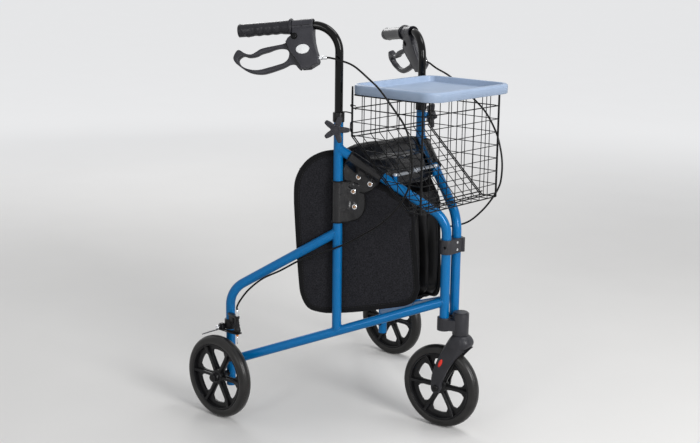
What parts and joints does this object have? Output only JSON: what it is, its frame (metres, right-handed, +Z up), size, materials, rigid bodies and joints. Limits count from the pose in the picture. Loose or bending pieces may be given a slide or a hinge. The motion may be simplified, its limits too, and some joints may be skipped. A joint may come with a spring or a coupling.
{
  "type": "three wheel rollator",
  "caption": "Folding three wheel walker with two hinged side frames, a swivelling front wheel, height-adjustable handles with loop brakes, a wire basket, a tray and a bag.",
  "frame": {"origin": "on the floor, under the middle of the box round the object", "axes": "+X the way the walker travels, +Y the user's left, +Z up"},
  "size_m": [0.6255, 0.6862, 0.9511],
  "materials": {
    "frame_paint": "gloss metallic blue",
    "black_paint": "gloss black",
    "black_plastic": "satin black",
    "grey_plastic": "satin dark grey",
    "hinge_plastic": "satin dark grey",
    "bright_steel": "bright plated",
    "zinc_steel": "zinc plated",
    "bag_cloth": "black woven cloth",
    "bag_vinyl": "glossy black coated cloth",
    "grip_rubber": "soft black",
    "cable_sheath": "gloss black",
    "tyre_rubber": "dark grey rubber",
    "reflector": "red lens",
    "basket_wire": "black coated wire",
    "tray_plastic": "satin grey blue"
  },
  "bodies": {
    "front_hinge": {"lower_bracket": "hinge_plastic", "upper_clamp": "hinge_plastic", "hinge_rivets": "bright_steel", "bag_front": "bag_cloth", "bag_back": "bag_cloth", "bag_floor": "bag_cloth", "bag_lid": "bag_vinyl"},
    "right_frame_body": {"right_main_tube": "frame_paint", "right_front_tube": "frame_paint", "right_rear_tube": "frame_paint", "right_lower_rail": "frame_paint", "right_collar": "black_plastic", "right_brake_bracket": "black_plastic", "right_frame_fittings": "bright_steel", "right_axle": "bright_steel", "right_bag_panel": "bag_cloth", "right_bag_straps": "bag_vinyl", "right_brake_cable": "cable_sheath"},
    "right_wheel_body": {"right_wheel": "black_plastic", "right_tyre": "tyre_rubber"},
    "right_handle_body": {"right_handle_tube": "black_paint", "right_grip": "grip_rubber", "right_housing": "grey_plastic", "right_handle_fittings": "bright_steel"},
    "right_lever_body": {"right_lever": "grey_plastic"},
    "right_brake_body": {"right_brake_arm": "bright_steel"},
    "right_knob_body": {"right_knob": "grey_plastic"},
    "right_brace_body": {"right_brace_link": "zinc_steel"},
    "left_frame_body": {"left_main_tube": "frame_paint", "left_front_tube": "frame_paint", "left_rear_tube": "frame_paint", "left_lower_rail": "frame_paint", "left_collar": "black_plastic", "left_brake_bracket": "black_plastic", "left_frame_fittings": "bright_steel", "left_axle": "bright_steel", "left_bag_panel": "bag_cloth", "left_bag_straps": "bag_vinyl", "left_brake_cable": "cable_sheath"},
    "left_wheel_body": {"left_wheel": "black_plastic", "left_tyre": "tyre_rubber"},
    "left_handle_body": {"left_handle_tube": "black_paint", "left_grip": "grip_rubber", "left_housing": "grey_plastic", "left_handle_fittings": "bright_steel"},
    "left_lever_body": {"left_lever": "grey_plastic"},
    "left_brake_body": {"left_brake_arm": "bright_steel"},
    "left_knob_body": {"left_knob": "grey_plastic"},
    "left_brace_body": {"left_brace_link": "zinc_steel"},
    "caster_body": {"caster_fork": "hinge_plastic", "caster_axle": "bright_steel", "reflectors": "reflector"},
    "caster_wheel_body": {"caster_wheel": "black_plastic", "caster_tyre": "tyre_rubber"},
    "basket_body": {"basket_front": "basket_wire", "basket_back": "basket_wire", "basket_slope": "basket_wire", "basket_floor": "basket_wire", "basket_sides": "basket_wire"},
    "tray_body": {"tray": "tray_plastic"}
  },
  "joints": [
    {"name": "right_fold", "type": "hinge", "parent": "front_hinge", "child": "right_frame_body", "pos_m": [0.22673, -0.019, 0.35], "axis": [0, 0, -1], "range_deg": [0, 24], "deforming": ["bag_front", "bag_back", "bag_floor", "bag_lid", "right_brake_cable"]},
    {"name": "left_fold", "type": "hinge", "parent": "front_hinge", "child": "left_frame_body", "pos_m": [0.22673, 0.019, 0.35], "axis": [0, 0, 1], "range_deg": [0, 24], "deforming": ["bag_front", "bag_back", "bag_floor", "bag_lid", "left_brake_cable"]},
    {"name": "caster_swivel", "type": "hinge", "parent": "front_hinge", "child": "caster_body", "pos_m": [0.26073, 0, 0.236], "axis": [0, 0, 1], "continuous": true},
    {"name": "caster_spin", "type": "hinge", "parent": "caster_body", "child": "caster_wheel_body", "pos_m": [0.21299, -0.00502, 0.1], "axis": [-0.1045, 0.9945, 0], "continuous": true},
    {"name": "right_wheel_spin", "type": "hinge", "parent": "right_frame_body", "child": "right_wheel_body", "pos_m": [-0.21299, -0.32171, 0.1], "axis": [0, 1, 0], "continuous": true},
    {"name": "right_handle_height", "type": "slide", "parent": "right_frame_body", "child": "right_handle_body", "axis": [0, 0, 1], "range_m": [-0.1, 0.03], "deforming": ["right_brake_cable"]},
    {"name": "right_knob_turn", "type": "hinge", "parent": "right_frame_body", "child": "right_knob_body", "pos_m": [0.00901, -0.14982, 0.706], "axis": [0.515, -0.8572, 0], "continuous": true},
    {"name": "right_lever_squeeze", "type": "hinge", "parent": "right_handle_body", "child": "right_lever_body", "pos_m": [-0.07612, -0.20258, 0.90871], "axis": [-0.4258, 0.8623, -0.2741], "range_deg": [0, 7.5], "stiffness_Nm_per_rad": 1.5, "springref_deg": -5.73},
    {"name": "right_brake_press", "type": "hinge", "parent": "right_frame_body", "child": "right_brake_body", "pos_m": [-0.22499, -0.30321, 0.217], "axis": [0, -1, 0], "range_deg": [0, 7.5]},
    {"name": "right_brace_turn", "type": "hinge", "parent": "right_frame_body", "child": "right_brace_body", "pos_m": [0.11701, -0.07326, 0.59], "axis": [0, 0, 1], "range_deg": [0, 95]},
    {"name": "left_wheel_spin", "type": "hinge", "parent": "left_frame_body", "child": "left_wheel_body", "pos_m": [-0.21299, 0.32171, 0.1], "axis": [0, 1, 0], "continuous": true},
    {"name": "left_handle_height", "type": "slide", "parent": "left_frame_body", "child": "left_handle_body", "axis": [0, 0, 1], "range_m": [-0.068, 0.062], "deforming": ["left_brake_cable"]},
    {"name": "left_knob_turn", "type": "hinge", "parent": "left_frame_body", "child": "left_knob_body", "pos_m": [0.00901, 0.14982, 0.706], "axis": [0.515, 0.8572, 0], "continuous": true},
    {"name": "left_lever_squeeze", "type": "hinge", "parent": "left_handle_body", "child": "left_lever_body", "pos_m": [-0.07612, 0.20258, 0.87671], "axis": [0.4258, 0.8623, 0.2741], "range_deg": [0, 7.5], "stiffness_Nm_per_rad": 1.5, "springref_deg": -5.73},
    {"name": "left_brake_press", "type": "hinge", "parent": "left_frame_body", "child": "left_brake_body", "pos_m": [-0.22499, 0.30321, 0.217], "axis": [0, -1, 0], "range_deg": [0, 7.5]},
    {"name": "left_brace_turn", "type": "hinge", "parent": "left_frame_body", "child": "left_brace_body", "pos_m": [0.11701, 0.07326, 0.59], "axis": [0, 0, -1], "range_deg": [0, 95]},
    {"name": "basket_lift", "type": "slide", "parent": "front_hinge", "child": "basket_body", "axis": [0, 0, 1], "range_m": [0, 0.06]},
    {"name": "tray_lift", "type": "slide", "parent": "basket_body", "child": "tray_body", "axis": [0, 0, 1], "range_m": [0, 0.05]}
  ],
  "couplings": [
    {"joint": "left_fold", "follows": "right_fold", "ratio": 1},
    {"joint": "right_brace_turn", "follows": "right_fold", "ratio": 3.95},
    {"joint": "right_brake_press", "follows": "right_lever_squeeze", "ratio": 1},
    {"joint": "left_brace_turn", "follows": "right_fold", "ratio": 3.95},
    {"joint": "left_brake_press", "follows": "left_lever_squeeze", "ratio": 1}
  ]
}
